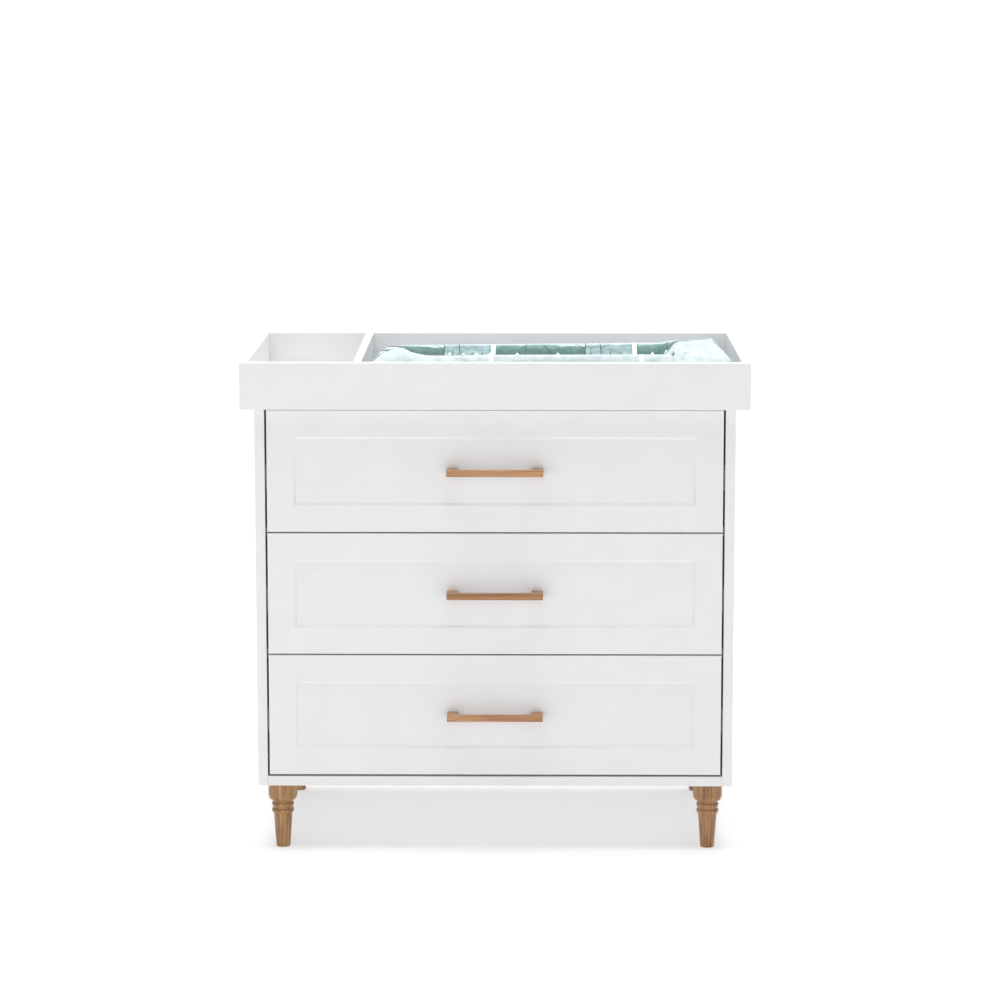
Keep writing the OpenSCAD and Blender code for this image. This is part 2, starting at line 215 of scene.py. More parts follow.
LEGS = ["leg_front_left", "leg_front_right", "leg_back_left", "leg_back_right"]
LEG_STEPS = 64
FOOT_RADIUS = 12.9 * MM
FOOT_ROUND = 1.6 * MM
WAIST_RADIUS = 18.2 * MM
SHANK_RADIUS = WAIST_RADIUS - 1 * MM
SHOULDER_RADIUS = WAIST_RADIUS + 1.8 * MM
BEAD_HEIGHTS = [68.6 * MM, 80 * MM]
BEAD_HALF = 4 * MM
BEAD_SWELL = 2.4 * MM
SHANK_STEP = 0.8 * MM
NECK_HEIGHT = 88 * MM
NECK_STEP = 1.2 * MM
LIP_HEIGHT = 100 * MM
CUP_ROUND = 1 * MM
STAVE_WIDTH = 19 * MM
JOINT_SHARE = 0.035
GRAIN_STRETCH = 0.04
FIBRE_WIDTH = 2.2 * MM
RING_WIDTH = 9 * MM
PORE_WIDTH = 0.9 * MM


def arc(centre, radii, start, end, count):
    """Points of an ellipse's arc as (radius, height), from start to end in degrees."""
    angles = [math.radians(start + (end - start) * i / (count - 1)) for i in range(count)]
    return [(centre[0] + radii[0] * math.cos(a), centre[1] + radii[1] * math.sin(a)) for a in angles]


def leg_outline(cup_radius, height):
    """Outline of a leg as (radius, height) from the foot's rim up to the cup's rim."""
    points = arc((FOOT_RADIUS - FOOT_ROUND, FOOT_ROUND), (FOOT_ROUND, FOOT_ROUND), -90, 0, 5)
    points.append((SHANK_RADIUS, BEAD_HEIGHTS[0] - BEAD_HALF - SHANK_STEP))
    for bead in BEAD_HEIGHTS:
        points += arc((WAIST_RADIUS, bead), (BEAD_SWELL, BEAD_HALF), -90, 90, 11)
    points.append((WAIST_RADIUS, NECK_HEIGHT - NECK_STEP))
    bowl = (cup_radius - SHOULDER_RADIUS, LIP_HEIGHT - NECK_HEIGHT)
    points += arc((SHOULDER_RADIUS, LIP_HEIGHT), bowl, -90, 0, 12)
    rim = (cup_radius - CUP_ROUND, height - CUP_ROUND)
    return points + arc(rim, (CUP_ROUND, CUP_ROUND), 0, 90, 4)


def turned_leg(node, material):
    """A disc the size of the foot, drawn up and widened or narrowed step by step."""
    low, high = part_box(node)
    centre = (low + high) / 2
    outline = leg_outline((high.x - low.x) / 2, high.z - low.z)
    radius, height = outline[0]
    bpy.ops.object.select_all(action="DESELECT")
    bpy.ops.mesh.primitive_circle_add(vertices=LEG_STEPS, radius=radius, fill_type="NGON",
                                      location=(centre.x, centre.y, height))
    piece = bpy.context.active_object
    piece.name = node + "_turned"
    bpy.ops.object.transform_apply(location=True)
    start_edit(piece)
    for next_radius, next_height in outline[1:]:
        up = (0, 0, next_height - height)
        bpy.ops.mesh.extrude_region_move(TRANSFORM_OT_translate={"value": up})
        widen = next_radius / radius
        bpy.ops.transform.resize(value=(widen, widen, 1),
                                 center_override=(centre.x, centre.y, next_height))
        radius, height = next_radius, next_height
    bpy.ops.mesh.select_all(action="SELECT")
    bpy.ops.mesh.normals_make_consistent(inside=False)
    finish_mesh(piece, material)
    stands_for(piece, node)


# Lacquered hardwood: fibres run along the grain, each stave has a tone of its own, and short
# dark pores lie between the fibres. Real pores are 0.2 mm wide; they are drawn at 0.9 mm so
# that they show.
def lacquered_wood(name, grain, across, stave, dark, middle, light, end_grain):
    """grain is the axis that the fibres follow, across the one that the staves are laid along."""
    wood = new_material(name)
    stretch = [1.0, 1.0, 1.0]
    stretch[grain] = GRAIN_STRETCH
    place = add_node(wood, "ShaderNodeTexCoord", {}, {})
    split = add_node(wood, "ShaderNodeSeparateXYZ", {}, {"Vector": place.outputs["Object"]})
    count = add_node(wood, "ShaderNodeMath", {"operation": "MULTIPLY"},
                     {0: split.outputs[across], 1: 1 / stave})
    stave_number = add_node(wood, "ShaderNodeMath", {"operation": "FLOOR"}, {0: count.outputs[0]})
    stave_tone = add_node(wood, "ShaderNodeTexWhiteNoise", {"noise_dimensions": "1D"},
                          {"W": stave_number.outputs[0]})
    inside = add_node(wood, "ShaderNodeMath", {"operation": "FRACT"}, {0: count.outputs[0]})
    joint = add_node(wood, "ShaderNodeMath", {"operation": "LESS_THAN"},
                     {0: inside.outputs[0], 1: JOINT_SHARE})
    moved = add_node(wood, "ShaderNodeVectorMath", {"operation": "ADD"},
                     {0: place.outputs["Object"], 1: stave_tone.outputs["Color"]})
    along = add_node(wood, "ShaderNodeVectorMath", {"operation": "MULTIPLY"},
                     {0: moved.outputs["Vector"], 1: stretch})
    fibres = add_node(wood, "ShaderNodeTexNoise", {},
                      {"Vector": along.outputs["Vector"], "Scale": 1 / FIBRE_WIDTH, "Detail": 4.0,
                       "Roughness": 0.6})
    rings = add_node(wood, "ShaderNodeTexNoise", {},
                     {"Vector": along.outputs["Vector"], "Scale": 1 / RING_WIDTH, "Detail": 2.0,
                      "Distortion": 0.6})
    pores = add_node(wood, "ShaderNodeTexNoise", {},
                     {"Vector": along.outputs["Vector"], "Scale": 1 / PORE_WIDTH, "Detail": 1.0})
    mixed = add_node(wood, "ShaderNodeMath", {"operation": "ADD"},
                     {0: fibres.outputs["Fac"], 1: rings.outputs["Fac"]})
    toned = add_node(wood, "ShaderNodeMath", {"operation": "MULTIPLY_ADD"},
                     {0: stave_tone.outputs["Value"], 1: 0.22, 2: mixed.outputs[0]})
    spread = add_node(wood, "ShaderNodeMapRange", {},
                      {"Value": toned.outputs[0], "From Min": 0.75, "From Max": 1.45})
    body = add_node(wood, "ShaderNodeValToRGB", {}, {"Fac": spread.outputs["Result"]},
                    [(0.0, linear(dark)), (0.5, linear(middle)), (1.0, linear(light))])
    marks = add_node(wood, "ShaderNodeMapRange", {},
                     {"Value": pores.outputs["Fac"], "From Min": 0.66, "From Max": 0.72,
                      "To Max": 0.55})
    lined = add_node(wood, "ShaderNodeMath", {"operation": "MULTIPLY_ADD"},
                     {0: joint.outputs[0], 1: 0.45, 2: marks.outputs["Result"]})
    pored = add_node(wood, "ShaderNodeMix", {"data_type": "RGBA"},
                     {"Factor": lined.outputs[0], 6: body.outputs["Color"], 7: linear(dark)})
    facing = add_node(wood, "ShaderNodeSeparateXYZ", {}, {"Vector": place.outputs["Normal"]})
    end_on = add_node(wood, "ShaderNodeMath", {"operation": "ABSOLUTE"}, {0: facing.outputs[grain]})
    end_mask = add_node(wood, "ShaderNodeMapRange", {},
                        {"Value": end_on.outputs[0], "From Min": 0.55, "From Max": 0.9,
                         "To Max": 0.8})
    colour = add_node(wood, "ShaderNodeMix", {"data_type": "RGBA"},
                      {"Factor": end_mask.outputs["Result"], 6: pored.outputs[2],
                       7: linear(end_grain)})
    relief = add_node(wood, "ShaderNodeBump", {},
                      {"Height": fibres.outputs["Fac"], "Strength": 0.3, "Distance": 0.05 * MM})
    shader = add_node(wood, "ShaderNodeBsdfPrincipled", {},
                      {"Base Color": colour.outputs[2], "Roughness": 0.42,
                       "Normal": relief.outputs["Normal"], "IOR": 1.5,
                       "Coat Weight": 0.25, "Coat Roughness": 0.3})
    add_node(wood, "ShaderNodeOutputMaterial", {}, {"Surface": shader.outputs["BSDF"]})
    return wood


leg_wood = lacquered_wood("turned_stave_hardwood", 2, 0, STAVE_WIDTH,
                          "#6f4725", "#a07447", "#bb8e61", "#8c623b")
for node in LEGS:
    turned_leg(node, leg_wood)


# ---- Drawer fronts ----
# One board of 18 mm fibreboard each, routed to leave a 49 mm border round a panel 3 mm lower,
# then sanded and sprayed like the cabinet.

DRAWERS = ["top", "middle", "bottom"]
ROUTED_EDGE = 0.7 * MM
ROUTED_DEPTH = 4 * MM
ROUTED_INSET = 20 * MM


def drawer_front(node, material):
    """A board sanded round its outside, and then less along the edges of its routed panel."""
    piece = merged_copy(node, node + "_sanded")
    low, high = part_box(node)
    select_edges(piece, is_corner)
    bpy.ops.mesh.bevel(offset=SANDED_EDGE, segments=3, affect="EDGES")
    inner_low, inner_high = low.x + ROUTED_INSET, high.x - ROUTED_INSET
    select_edges(piece, lambda edge: is_corner(edge, angle=25, shortest=30 * MM)
                 and max(v.co.y for v in edge.verts) < low.y + ROUTED_DEPTH
                 and all(inner_low < v.co.x < inner_high for v in edge.verts))
    bpy.ops.mesh.bevel(offset=ROUTED_EDGE, segments=2, affect="EDGES")
    finish_mesh(piece, material)
    stands_for(piece, node)


for name in DRAWERS:
    drawer_front(name + "_drawer_front", white_paint)


# ---- Drawer boxes ----
# Sides and back of 12 mm chipboard faced with white melamine, and a hardboard base slid into
# their grooves. The boxes are glued and pegged, and screwed to the fronts from inside.

BOX_EDGE = 0.5 * MM
BASE_EDGE = 0.3 * MM

melamine = satin_paint("white_melamine", "#e6e6e4", "#e4e4e2", 0.5)
for name in DRAWERS:
    for part in ("side_left", "side_right", "back"):
        sanded(name + "_drawer_" + part, BOX_EDGE, melamine)
    sanded(name + "_drawer_base", BASE_EDGE, sheet_paint)


# ---- Handles ----
# A square bar with a post at each end, cut in one piece from hardwood with the grain along it,
# rounded over by hand and lacquered. Two screws hold it from inside the drawer.

HANDLE_EDGE = 1.2 * MM
HANDLE_PLANK = 40 * MM

handle_wood = lacquered_wood("lacquered_bar_hardwood", 0, 2, HANDLE_PLANK,
                             "#7e5229", "#a8774b", "#bf8f62", "#76644f")
for name in DRAWERS:
    sanded(name + "_handle", HANDLE_EDGE, handle_wood)


# ---- Tray ----
# Four walls of 15 mm fibreboard pegged at the corners round a thin floor, with one divider.
# It is painted like the cabinet, and its rims are rounded more for bare arms to rest on.

RIM_EDGE = 2 * MM

for part in ("front", "back", "side_left", "side_right", "divider"):
    sanded("tray_" + part, RIM_EDGE, white_paint)
sanded("tray_floor", SHEET_EDGE, white_paint)


# ---- Steel hardware ----
# Runners, brackets, straps, cams, studs and screws of mild steel, bright zinc plated after
# forming, which leaves a soft grey sheen with a faint mottled spangle.

HARDWARE = ["leg_studs", "leg_inserts", "cam_fittings", "wall_brackets", "back_screws",
            "tray_straps", "strap_screws"]
for name in DRAWERS:
    HARDWARE += [name + "_runner_outer", name + "_runner_middle", name + "_runner_inner",
                 name + "_handle_screws"]
SPANGLE_SIZE = 3 * MM
CLOUD_SIZE = 12 * MM


def coat(node, material):
    """Gives a CAD part that is kept as it is its real finish."""
    mesh = frame["nodes"][node].data
    mesh.materials.clear()
    mesh.materials.append(material)


zinc = new_material("bright_zinc_plate")
place = add_node(zinc, "ShaderNodeTexCoord", {}, {})
spangle = add_node(zinc, "ShaderNodeTexVoronoi", {"feature": "F1"},
                   {"Vector": place.outputs["Object"], "Scale": 1 / SPANGLE_SIZE})
cloud = add_node(zinc, "ShaderNodeTexNoise", {},
                 {"Vector": place.outputs["Object"], "Scale": 1 / CLOUD_SIZE, "Detail": 3.0})
tint = add_node(zinc, "ShaderNodeValToRGB", {}, {"Fac": cloud.outputs["Fac"]},
                [(0.3, linear("#a9adb2")), (0.7, linear("#c9ccd0"))])
gloss = add_node(zinc, "ShaderNodeMapRange", {},
                 {"Value": spangle.outputs["Distance"], "To Min": 0.28, "To Max": 0.42})
shader = add_node(zinc, "ShaderNodeBsdfPrincipled", {},
                  {"Base Color": tint.outputs["Color"], "Metallic": 1.0,
                   "Roughness": gloss.outputs["Result"]})
add_node(zinc, "ShaderNodeOutputMaterial", {}, {"Surface": shader.outputs["BSDF"]})
for node in HARDWARE:
    coat(node, zinc)


# ---- Pegs and battens ----
# Bare beech: fluted dowels in the corners, and two planed strips under the tray's floor.

BEECH_PLANK = 60 * MM

beech = lacquered_wood("bare_beech", 1, 0, BEECH_PLANK, "#b98a5e", "#cfa47a", "#ddb78f", "#c39a70")
for node in ("cabinet_dowels", "tray_dowels", "tray_battens"):
    coat(node, beech)


# ---- Changing pad ----
# A foam pad with a bolster along every side of a sunk middle, in a loose fitted cover of soft
# polyester knit, printed with woodland panels and darted at the four corners. It is blown up
# by cloth simulation, then shaped where the foam and the loose cover stand up or crease.

# Foam: the bolsters run round a sunk middle, and the right one is the widest
PAD_SHRINK = 5 * MM
BACK_BOLSTER = 75 * MM
END_BOLSTER = 75 * MM
FRONT_WIDER = 6 * MM
BOLSTER_SLOPE = 32 * MM
BOLSTER_CREST = END_BOLSTER - BOLSTER_SLOPE
BOLSTER_ROUND = 14 * MM
MIDDLE_HEIGHT = 20 * MM
RIGHT_WIDER = 32 * MM
RIGHT_SLANT = 16 * MM
RIGHT_INNER = (95 * MM, 25 * MM)
FRONT_RISE = 4 * MM
BACK_DROP = 26 * MM
LEFT_DROP = 8 * MM
SKIN = 1 * MM

# Cloth: the simulation's mesh, its length, and how far a point may move
PAD_VOXEL = 6 * MM
SWELL_FRAMES = 20
SWELL_LIMIT = 9 * MM

pad_low, pad_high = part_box("changing_pad")


def pad_blank():
    """The foam's shape with flat sides: a box whose top is sunk inside a bolster all round."""
    low = pad_low + Vector((PAD_SHRINK, PAD_SHRINK, 0))
    high = pad_high - Vector((PAD_SHRINK, PAD_SHRINK, PAD_SHRINK))
    bpy.ops.object.select_all(action="DESELECT")
    bpy.ops.mesh.primitive_cube_add(size=1, location=(low + high) / 2)
    piece = bpy.context.active_object
    piece.name = "changing_pad_cover"
    piece.scale = high - low
    bpy.ops.object.transform_apply(location=True, scale=True)
    start_edit(piece)
    bpy.ops.mesh.select_mode(type="FACE")
    bpy.ops.mesh.select_all(action="DESELECT")
    mesh = bmesh.from_edit_mesh(piece.data)
    for face in mesh.faces:
        face.select = face.normal.z > 0.9
    bmesh.update_edit_mesh(piece.data)
    bpy.ops.mesh.inset(thickness=BOLSTER_CREST)
    bpy.ops.transform.resize(value=(1, 1 - FRONT_WIDER / (high.y - low.y), 1),
                             center_override=(0, high.y - BACK_BOLSTER, 0))
    bpy.ops.mesh.inset(thickness=BOLSTER_SLOPE)
    bpy.ops.transform.translate(value=(0, 0, pad_low.z + MIDDLE_HEIGHT - high.z))
    middle = pad_low.z + MIDDLE_HEIGHT
    select_edges(piece, lambda edge: max(v.co.z for v in edge.verts) > middle + SKIN)
    bpy.ops.mesh.bevel(offset=BOLSTER_ROUND, segments=4, affect="EDGES")
    bpy.ops.object.mode_set(mode="OBJECT")
    for vertex in piece.data.vertices:
        above = max(0, (vertex.co.z - pad_low.z) / (high.z - pad_low.z)) ** 2
        if high.x - RIGHT_INNER[0] < vertex.co.x < high.x - RIGHT_INNER[1]:
            vertex.co.x -= RIGHT_WIDER + RIGHT_SLANT * above
        backwards = max(0, (vertex.co.y - low.y) / (high.y - low.y))
        leftwards = max(0, (high.x - vertex.co.x) / (high.x - low.x))
        vertex.co.z += above * (FRONT_RISE - BACK_DROP * backwards ** 1.5)
        vertex.co.z -= above * LEFT_DROP * leftwards ** 4 * min(1, 3 * backwards)
    return piece


def swollen(piece):
    """Remeshes the blank and blows it up as cloth, with a limit on how far each point moves."""
    remesh = piece.modifiers.new("remesh", "REMESH")
    remesh.mode = "VOXEL"
    remesh.voxel_size = PAD_VOXEL
    bpy.ops.object.modifier_apply(modifier=remesh.name)
    start = [vertex.co.copy() for vertex in piece.data.vertices]
    held = piece.vertex_groups.new(name="held")
    underside = [v.index for v in piece.data.vertices if v.co.z < pad_low.z + SKIN]
    held.add(underside, 1.0, "REPLACE")
    cloth = piece.modifiers.new("cloth", "CLOTH")
    cloth.settings.vertex_group_mass = "held"
    cloth.settings.use_pressure = True
    cloth.settings.uniform_pressure_force = 4
    cloth.settings.shrink_min = -0.015
    cloth.settings.bending_stiffness = 0.3
    cloth.settings.effector_weights.gravity = 0
    cloth.collision_settings.use_collision = False
    for frame_number in range(1, SWELL_FRAMES + 1):
        bpy.context.scene.frame_set(frame_number)
    bpy.ops.object.modifier_apply(modifier=cloth.name)
    bpy.context.scene.frame_set(1)
    piece.vertex_groups.clear()
    for vertex, before in zip(piece.data.vertices, start):
        move = vertex.co - before
        if move.length > SWELL_LIMIT:
            vertex.co = before + move.normalized() * SWELL_LIMIT


def hump(value, centre, half):
    """1 at the centre, falling smoothly to 0 at half the width away on either side."""
    near = max(0, 1 - abs(value - centre) / half)
    return near * near * (3 - 2 * near)


# Folds of the loose cover, each a height, and then places and half widths measured from the
# pad's left or right end and from its front
LEFT_LIFT = 11 * MM
LEFT_LIFT_X = (52 * MM, 62 * MM)
LEFT_DIP = 2 * MM
LEFT_DIP_X = (150 * MM, 70 * MM)
LEFT_Y = (50 * MM, 70 * MM)
RIGHT_RISE = 7 * MM
RIGHT_RISE_FROM = 120 * MM
RIGHT_RISE_RAMP = 20 * MM
GROOVE_DEPTH = 7 * MM
GROOVE_X = (108 * MM, 12 * MM)
GROOVE_Y = (40 * MM, 60 * MM)
CREASE_DEPTH = 3.5 * MM
CREASE_HALF = 11 * MM
CREASE_LEAN = 0.1
CREASE_X = (45 * MM, 62 * MM)
CREASES_Y = [185 * MM, 135 * MM]
END_LIFT = 5 * MM
END_LIFT_X = (20 * MM, 30 * MM)
DART_DEPTH = 3 * MM
DART_HALF = 8 * MM
DART_IN = (42 * MM, 48 * MM)


def shape_cover(piece):
    """Lifts, creases and corner darts that the foam and the loose cover have in use."""
    centre = (pad_low + pad_high) / 2
    half = (pad_high - pad_low) / 2
    for vertex in piece.data.vertices:
        x, y, z = vertex.co
        from_left, from_right, from_front = x - pad_low.x, pad_high.x - x, y - pad_low.y
        above = min(1, max(0, (z - pad_low.z) / (pad_high.z - pad_low.z)))
        backwards = min(1, max(0, from_front / (pad_high.y - pad_low.y)))
        lift = LEFT_LIFT * hump(from_left, *LEFT_LIFT_X) - LEFT_DIP * hump(from_left, *LEFT_DIP_X)
        vertex.co.z += lift * above * hump(from_front, *LEFT_Y)
        block = min(1, max(0, (RIGHT_RISE_FROM - from_right) / RIGHT_RISE_RAMP))
        vertex.co.z += RIGHT_RISE * above * block * backwards
        groove = hump(from_right, *GROOVE_X) * hump(from_front, *GROOVE_Y)
        vertex.co.z -= GROOVE_DEPTH * above * groove
        for crease in CREASES_Y:
            fold = hump(from_front - CREASE_LEAN * from_right, crease, CREASE_HALF)
            vertex.co.z -= CREASE_DEPTH * above * hump(from_right, *CREASE_X) * fold
        vertex.co.z += END_LIFT * above * hump(from_right, *END_LIFT_X)
        out_x = half.x - abs(x - centre.x)
        out_y = half.y - abs(y - centre.y)
        dart = hump(out_x - out_y, 0, DART_HALF) * hump(min(out_x, out_y), *DART_IN)
        vertex.co.z -= DART_DEPTH * above * dart


pad_cover = pad_blank()
swollen(pad_cover)
shape_cover(pad_cover)
smooth = pad_cover.modifiers.new("smooth", "SUBSURF")
smooth.levels = smooth.render_levels = 1
bpy.ops.object.modifier_apply(modifier=smooth.name)

SLOPE_CLOTH = 0.41
PLAIN_DEPTH = END_BOLSTER + 28 * MM
PLAIN_PLACE = 262 * MM
PLAIN_SQUEEZE = 0.12


def lay_print(piece):
    """Lays the print on the cover as if unrolled, in metres, with a dart at each corner.
    The right end is cut from the sky of the print, and so is nearly plain."""
    layer = piece.data.uv_layers.new(name="print")
    middle = pad_low.z + MIDDLE_HEIGHT
    centre = (pad_low + pad_high) / 2
    half = (pad_high - pad_low) / 2
    for face in piece.data.polygons:
        out_x = half.x - abs(face.center.x - centre.x)
        out_y = half.y - abs(face.center.y - centre.y)
        for loop in face.loop_indices:
            point = piece.data.vertices[piece.data.loops[loop].vertex_index].co
            place = [point.x, point.y]
            axis = 0 if out_x < out_y else 1
            side = 1 if place[axis] > centre[axis] else -1
            depth = min(out_x, out_y)
            if depth > BOLSTER_CREST / 2:
                place[axis] += side * SLOPE_CLOTH * (point.z - middle)
            else:
                place[axis] += side * (SLOPE_CLOTH * (pad_high.z - middle) + (pad_high.z - point.z))
            if axis == 0 and side == 1 and depth < PLAIN_DEPTH:
                place[1] = PLAIN_SQUEEZE * place[1] + PLAIN_PLACE
            layer.data[loop].uv = place


lay_print(pad_cover)

# Printed polyester knit: soft and matt with a slight sheen, in inks of teal, blue teal and
# mint on a pale grey blue, with a near white border round each panel of the print. Its loops
# are 1 mm apart and are drawn at 2.5 mm so that they show.
PANEL_SIZE = (272 * MM, 165 * MM)
PANEL_START = (-7 * MM, 130 * MM)
BORDER_WIDTH = 4 * MM
WOBBLE_SIZE = 28 * MM
SHADE_SIZE = 16 * MM
LOOP_SIZE = 2.5 * MM
CRUMPLE_SIZE = 40 * MM
STROKE_WIDTH = 1.8 * MM

knit = new_material("printed_polyester_knit")
place = add_node(knit, "ShaderNodeUVMap", {"uv_map": "print"}, {})
split = add_node(knit, "ShaderNodeSeparateXYZ", {}, {"Vector": place.outputs["UV"]})
edge_wobble = add_node(knit, "ShaderNodeTexNoise", {},
                       {"Vector": place.outputs["UV"], "Scale": 1 / WOBBLE_SIZE, "Detail": 2.0})
shade = add_node(knit, "ShaderNodeTexNoise", {},
                 {"Vector": place.outputs["UV"], "Scale": 1 / SHADE_SIZE, "Detail": 3.0})

# Place inside a panel, in metres from its lower left corner
panel_x = add_node(knit, "ShaderNodeMath", {"operation": "WRAP"},
                   {0: split.outputs["X"], 1: PANEL_START[0] + PANEL_SIZE[0], 2: PANEL_START[0]})
panel_y = add_node(knit, "ShaderNodeMath", {"operation": "WRAP"},
                   {0: split.outputs["Y"], 1: PANEL_START[1] + PANEL_SIZE[1], 2: PANEL_START[1]})
px = add_node(knit, "ShaderNodeMath", {"operation": "SUBTRACT"},
              {0: panel_x.outputs[0], 1: PANEL_START[0]}).outputs[0]
py = add_node(knit, "ShaderNodeMath", {"operation": "SUBTRACT"},
              {0: panel_y.outputs[0], 1: PANEL_START[1]}).outputs[0]


def print_over(base, colour, mask):
    """The print with one more ink laid over it where the mask is 1."""
    return add_node(knit, "ShaderNodeMix", {"data_type": "RGBA"},
                    {"Factor": mask, 6: base, 7: colour}).outputs[2]


def hill(left, right, height, wobble):
    """A mask for ground below a domed skyline between two places across the panel."""
    across = add_node(knit, "ShaderNodeMapRange", {"clamp": False},
                      {"Value": px, "From Min": left, "From Max": right,
                       "To Min": -1.0, "To Max": 1.0})
    square = add_node(knit, "ShaderNodeMath", {"operation": "MULTIPLY"},
                      {0: across.outputs["Result"], 1: across.outputs["Result"]})
    drop = add_node(knit, "ShaderNodeMath", {"operation": "MULTIPLY_ADD"},
                    {0: square.outputs[0], 1: -0.16 * height, 2: height - wobble / 2})
    skyline = add_node(knit, "ShaderNodeMath", {"operation": "MULTIPLY_ADD"},
                       {0: edge_wobble.outputs["Fac"], 1: wobble, 2: drop.outputs[0]})
    below = add_node(knit, "ShaderNodeMath", {"operation": "LESS_THAN"},
                     {0: py, 1: skyline.outputs[0]})
    wide = add_node(knit, "ShaderNodeMath", {"operation": "LESS_THAN"},
                    {0: square.outputs[0], 1: 1.0})
    return add_node(knit, "ShaderNodeMath", {"operation": "MULTIPLY"},
                    {0: below.outputs[0], 1: wide.outputs[0]}).outputs[0]


def pines(spacing, base, height, share, slim):
    """A row of pointed trees on a base line. Share of them are drawn, and slim is half of a
    tree's width as a part of the spacing."""
    count = add_node(knit, "ShaderNodeMath", {"operation": "DIVIDE"},
                     {0: split.outputs["X"], 1: spacing})
    number = add_node(knit, "ShaderNodeMath", {"operation": "FLOOR"}, {0: count.outputs[0]})
    chance = add_node(knit, "ShaderNodeTexWhiteNoise", {"noise_dimensions": "1D"},
                      {"W": number.outputs[0]})
    inside = add_node(knit, "ShaderNodeMath", {"operation": "FRACT"}, {0: count.outputs[0]})
    aside = add_node(knit, "ShaderNodeMath", {"operation": "SUBTRACT"},
                     {0: inside.outputs[0], 1: 0.5})
    away = add_node(knit, "ShaderNodeMath", {"operation": "ABSOLUTE"}, {0: aside.outputs[0]})
    tall = add_node(knit, "ShaderNodeMath", {"operation": "MULTIPLY_ADD"},
                    {0: chance.outputs["Value"], 1: 0.5 * height, 2: 0.7 * height})
    up = add_node(knit, "ShaderNodeMath", {"operation": "SUBTRACT"}, {0: py, 1: base})
    part = add_node(knit, "ShaderNodeMath", {"operation": "DIVIDE"},
                    {0: up.outputs[0], 1: tall.outputs[0]})
    width = add_node(knit, "ShaderNodeMath", {"operation": "MULTIPLY_ADD"},
                     {0: part.outputs[0], 1: -slim, 2: slim})
    narrow = add_node(knit, "ShaderNodeMath", {"operation": "LESS_THAN"},
                      {0: away.outputs[0], 1: width.outputs[0]})
    stands = add_node(knit, "ShaderNodeMath", {"operation": "GREATER_THAN"},
                      {0: part.outputs[0], 1: 0.0})
    there = add_node(knit, "ShaderNodeMath", {"operation": "LESS_THAN"},
                     {0: chance.outputs["Value"], 1: share})
    both = add_node(knit, "ShaderNodeMath", {"operation": "MULTIPLY"},
                    {0: narrow.outputs[0], 1: stands.outputs[0]})
    return add_node(knit, "ShaderNodeMath", {"operation": "MULTIPLY"},
                    {0: both.outputs[0], 1: there.outputs[0]}).outputs[0]


def stroke(foot_x, foot_y, lean, length):
    """A thin drawn line, up from its foot by its length and leaning by lean of that."""
    up = add_node(knit, "ShaderNodeMath", {"operation": "SUBTRACT"}, {0: py, 1: foot_y})
    line = add_node(knit, "ShaderNodeMath", {"operation": "MULTIPLY_ADD"},
                    {0: up.outputs[0], 1: lean, 2: foot_x})
    gap = add_node(knit, "ShaderNodeMath", {"operation": "SUBTRACT"},
                   {0: px, 1: line.outputs[0]})
    away = add_node(knit, "ShaderNodeMath", {"operation": "ABSOLUTE"}, {0: gap.outputs[0]})
    on_line = add_node(knit, "ShaderNodeMath", {"operation": "LESS_THAN"},
                       {0: away.outputs[0], 1: STROKE_WIDTH / 2})
    half = add_node(knit, "ShaderNodeMath", {"operation": "SUBTRACT"},
                    {0: up.outputs[0], 1: length / 2})
    reach = add_node(knit, "ShaderNodeMath", {"operation": "ABSOLUTE"}, {0: half.outputs[0]})
    within = add_node(knit, "ShaderNodeMath", {"operation": "LESS_THAN"},
                      {0: reach.outputs[0], 1: length / 2})
    return add_node(knit, "ShaderNodeMath", {"operation": "MULTIPLY"},
                    {0: on_line.outputs[0], 1: within.outputs[0]}).outputs[0]


# Washes for the sky and the two dark hills, the nearer one lighter towards its top
print_colour = add_node(knit, "ShaderNodeValToRGB", {}, {"Fac": shade.outputs["Fac"]},
                        [(0.35, linear("#b5c4c7")), (0.65, linear("#c9d1d2"))]).outputs["Color"]
depth = add_node(knit, "ShaderNodeMapRange", {},
                 {"Value": py, "From Min": 34 * MM, "From Max": 85 * MM, "To Max": 0.5})
ground = add_node(knit, "ShaderNodeMath", {"operation": "MULTIPLY_ADD"},
                  {0: shade.outputs["Fac"], 1: 0.5, 2: depth.outputs["Result"]})
teal = add_node(knit, "ShaderNodeValToRGB", {}, {"Fac": ground.outputs[0]},
                [(0.2, linear("#2c463e")), (0.5, linear("#50756c")),
                 (0.8, linear("#84a09b"))]).outputs["Color"]
blue_teal = add_node(knit, "ShaderNodeValToRGB", {}, {"Fac": shade.outputs["Fac"]},
                     [(0.35, linear("#728a8c")), (0.65, linear("#94abae"))]).outputs["Color"]

# Hills by their left, right, height and wobble, then rows of pines, and bare twigs over them
print_colour = print_over(print_colour, linear("#b4c9c5"), hill(-60 * MM, 330 * MM, 84 * MM, 24 * MM))
print_colour = print_over(print_colour, blue_teal, hill(165 * MM, 300 * MM, 78 * MM, 18 * MM))
print_colour = print_over(print_colour, teal, hill(-70 * MM, 178 * MM, 78 * MM, 20 * MM))
print_colour = print_over(print_colour, linear("#3d5d54"),
                          pines(spacing=19 * MM, base=20 * MM, height=46 * MM, share=0.6, slim=0.16))
print_colour = print_over(print_colour, linear("#cfe0dc"),
                          pines(spacing=26 * MM, base=36 * MM, height=18 * MM, share=0.45, slim=0.2))
print_colour = print_over(print_colour, linear("#b9c8c6"), hill(-20 * MM, 300 * MM, 24 * MM, 10 * MM))
print_colour = print_over(print_colour, linear("#567f75"),
                          pines(spacing=23 * MM, base=2 * MM, height=22 * MM, share=0.5, slim=0.3))
